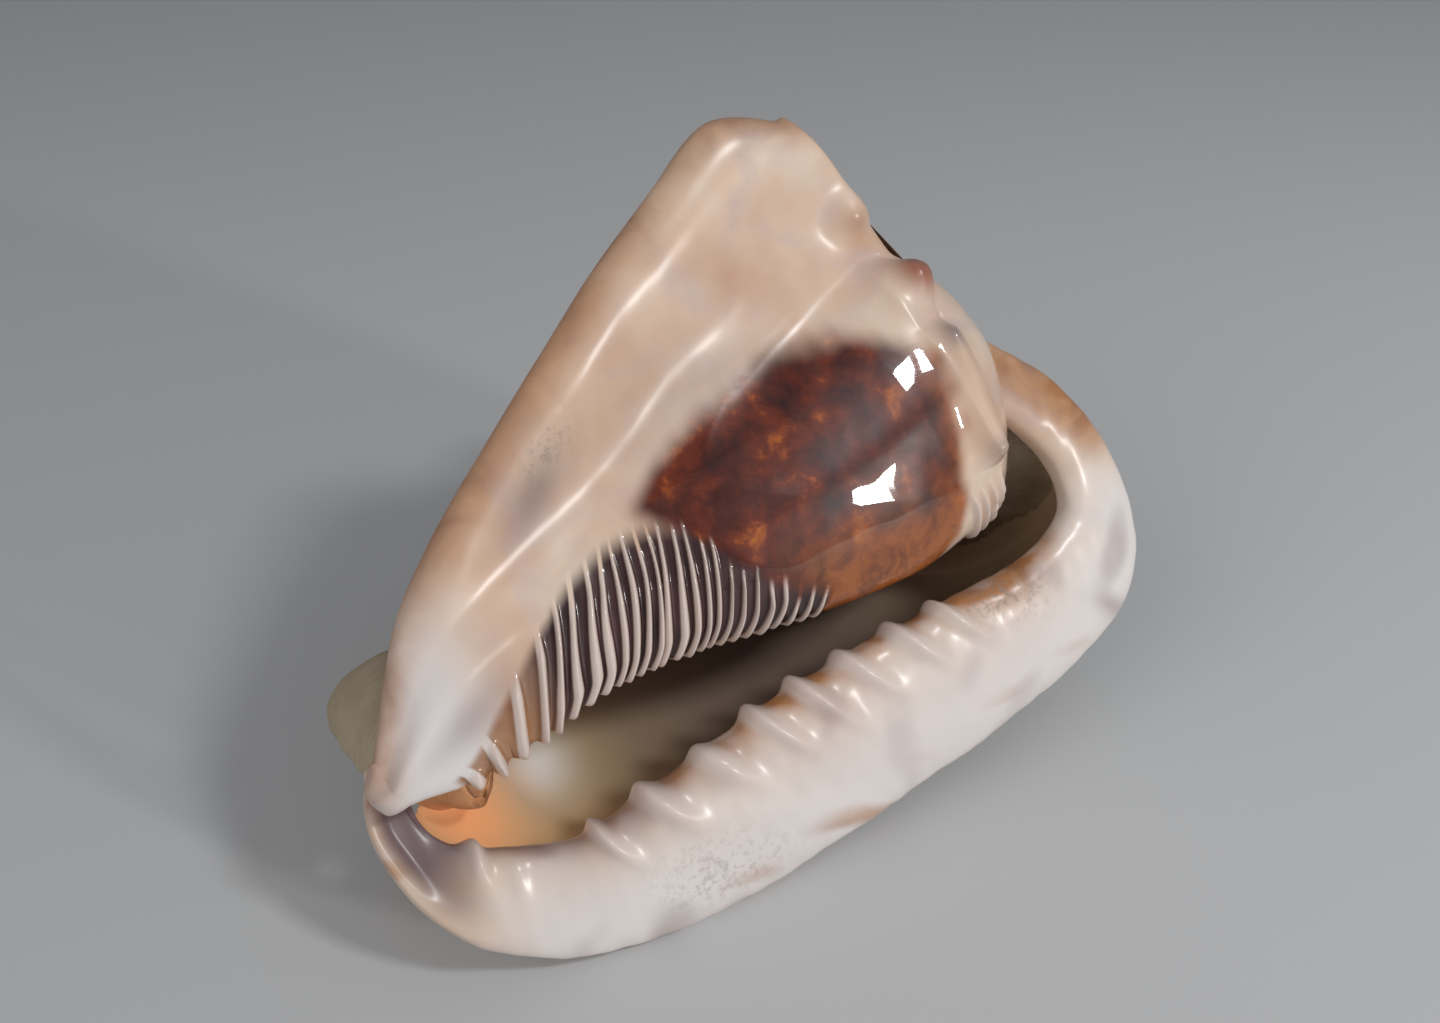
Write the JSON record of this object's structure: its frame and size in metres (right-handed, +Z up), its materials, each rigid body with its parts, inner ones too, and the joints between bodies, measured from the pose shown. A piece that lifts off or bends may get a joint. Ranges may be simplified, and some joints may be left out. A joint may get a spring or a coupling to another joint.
{
  "type": "conch shell",
  "caption": "Large helmet conch shell lying on its outer lip, with a broad parietal shield, ribbed aperture edge and knobbed back.",
  "frame": {"origin": "centre of the bounding box's bottom face, on the floor under the shell", "axes": "+Z up from the floor; +X from the front canal towards the spire end of the outer lip; -Y towards the side that the aperture faces"},
  "size_m": [0.2181, 0.1934, 0.1697],
  "materials": {
    "glazed_shell": "polished",
    "brown_glaze": "polished",
    "dark_grooves": "polished",
    "pale_ribs": "polished",
    "outer_shell": "matte"
  },
  "bodies": {
    "root": {"protoconch": "outer_shell", "first_spire_whorl": "outer_shell", "second_spire_whorl": "outer_shell", "penultimate_whorl": "outer_shell", "body_whorl": "outer_shell", "old_varix": "outer_shell", "spire_knobs": "outer_shell", "shoulder_knobs": "outer_shell", "middle_knobs": "outer_shell", "lower_knobs": "outer_shell", "columella": "glazed_shell", "siphonal_canal": "outer_shell", "siphonal_fasciole": "outer_shell", "parietal_shield": "glazed_shell", "shield_rim": "glazed_shell", "glazed_knobs": "glazed_shell", "parietal_callus": "brown_glaze", "columellar_callus": "dark_grooves", "columellar_folds": "pale_ribs", "posterior_folds": "pale_ribs", "outer_lip": "glazed_shell", "lip_teeth": "pale_ribs"}
  },
  "joints": []
}
